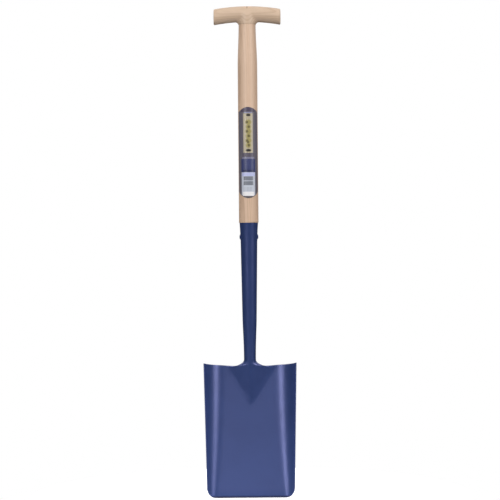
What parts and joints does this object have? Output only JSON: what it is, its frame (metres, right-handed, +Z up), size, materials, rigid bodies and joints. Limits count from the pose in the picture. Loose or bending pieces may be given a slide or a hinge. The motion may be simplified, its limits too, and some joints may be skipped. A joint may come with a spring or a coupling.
{
  "type": "garden spade",
  "caption": "T-handled spade with a dished tapering steel blade, a tapered tubular socket, a round ash shaft and a wooden crossbar.",
  "frame": {"origin": "on the shaft's axis in the plane of the socket's mouth, which is the lower end of the parallel stretch that a tool clip grips", "axes": "+Z up the shaft to the crossbar, +X along the crossbar, -Y towards the hollow front of the blade and the label"},
  "size_m": [0.1912, 0.0833, 1.001],
  "materials": {
    "blue_enamel": "semi-gloss stoved enamel over forged steel",
    "ash_shaft": "satin clear-lacquered ash, grain along the shaft",
    "ash_grip": "satin clear-lacquered ash, grain along the crossbar",
    "wedge_wood": "dressed hardwood end grain",
    "plain_steel": "cut steel pin",
    "printed_film": "printed film, slightly glossy"
  },
  "bodies": {
    "root": {"spade_head": "blue_enamel", "shaft": "ash_shaft", "t_grip": "ash_grip", "tenon_wedge": "wedge_wood", "grip_pin": "plain_steel", "socket_rivet": "blue_enamel", "label": "printed_film"}
  },
  "joints": []
}
